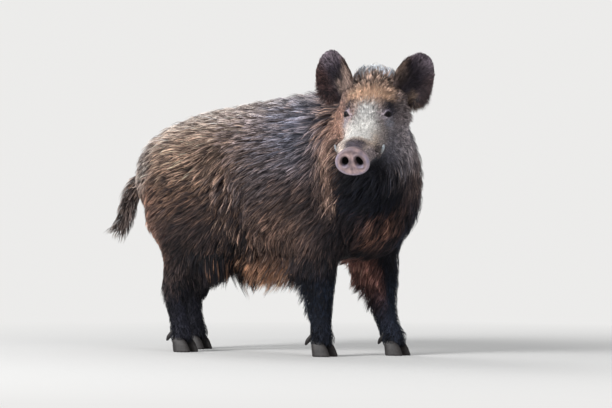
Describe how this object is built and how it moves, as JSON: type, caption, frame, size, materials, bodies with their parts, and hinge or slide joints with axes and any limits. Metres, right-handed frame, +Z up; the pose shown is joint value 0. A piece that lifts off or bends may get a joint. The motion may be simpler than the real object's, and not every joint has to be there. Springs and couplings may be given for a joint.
{
  "type": "wild boar",
  "caption": "Still life-size wild boar standing on its feet in a thick winter coat, head turned to its right to look at the viewer, for display or a scene.",
  "frame": {"origin": "on the floor, under the middle of the whole object's box", "axes": "+X along the body from rump to chest, +Y to the animal's left, +Z up"},
  "size_m": [1.236, 0.5636, 0.9043],
  "materials": {
    "coat": "coarse winter bristle over a dense undercoat, grizzled brown",
    "leg_coat": "short near-black bristle",
    "ear_coat": "short dark hair with a longer fringe",
    "nose_skin": "bare damp skin, greyish pink",
    "horn": "dark worn hoof horn",
    "tusk": "worn ivory",
    "eye": "wet, near-black brown"
  },
  "bodies": {
    "root": {"trunk": "coat", "neck": "coat", "head": "coat", "lower_jaw": "coat", "tail": "coat", "tail_tassel": "coat", "ear_right": "ear_coat", "ear_left": "ear_coat", "front_right_leg_upper": "leg_coat", "front_right_leg_lower": "leg_coat", "front_left_leg_upper": "leg_coat", "front_left_leg_lower": "leg_coat", "hind_right_leg_upper": "leg_coat", "hind_right_leg_lower": "leg_coat", "hind_left_leg_upper": "leg_coat", "hind_left_leg_lower": "leg_coat", "nose_disc": "nose_skin", "eye_right": "eye", "eye_left": "eye", "tusk_right": "tusk", "tusk_left": "tusk", "front_right_hoof_right": "horn", "front_right_hoof_left": "horn", "front_right_dewclaw_right": "horn", "front_right_dewclaw_left": "horn", "front_left_hoof_right": "horn", "front_left_hoof_left": "horn", "front_left_dewclaw_right": "horn", "front_left_dewclaw_left": "horn", "hind_right_hoof_right": "horn", "hind_right_hoof_left": "horn", "hind_right_dewclaw_right": "horn", "hind_right_dewclaw_left": "horn", "hind_left_hoof_right": "horn", "hind_left_hoof_left": "horn", "hind_left_dewclaw_right": "horn", "hind_left_dewclaw_left": "horn"}
  },
  "joints": []
}
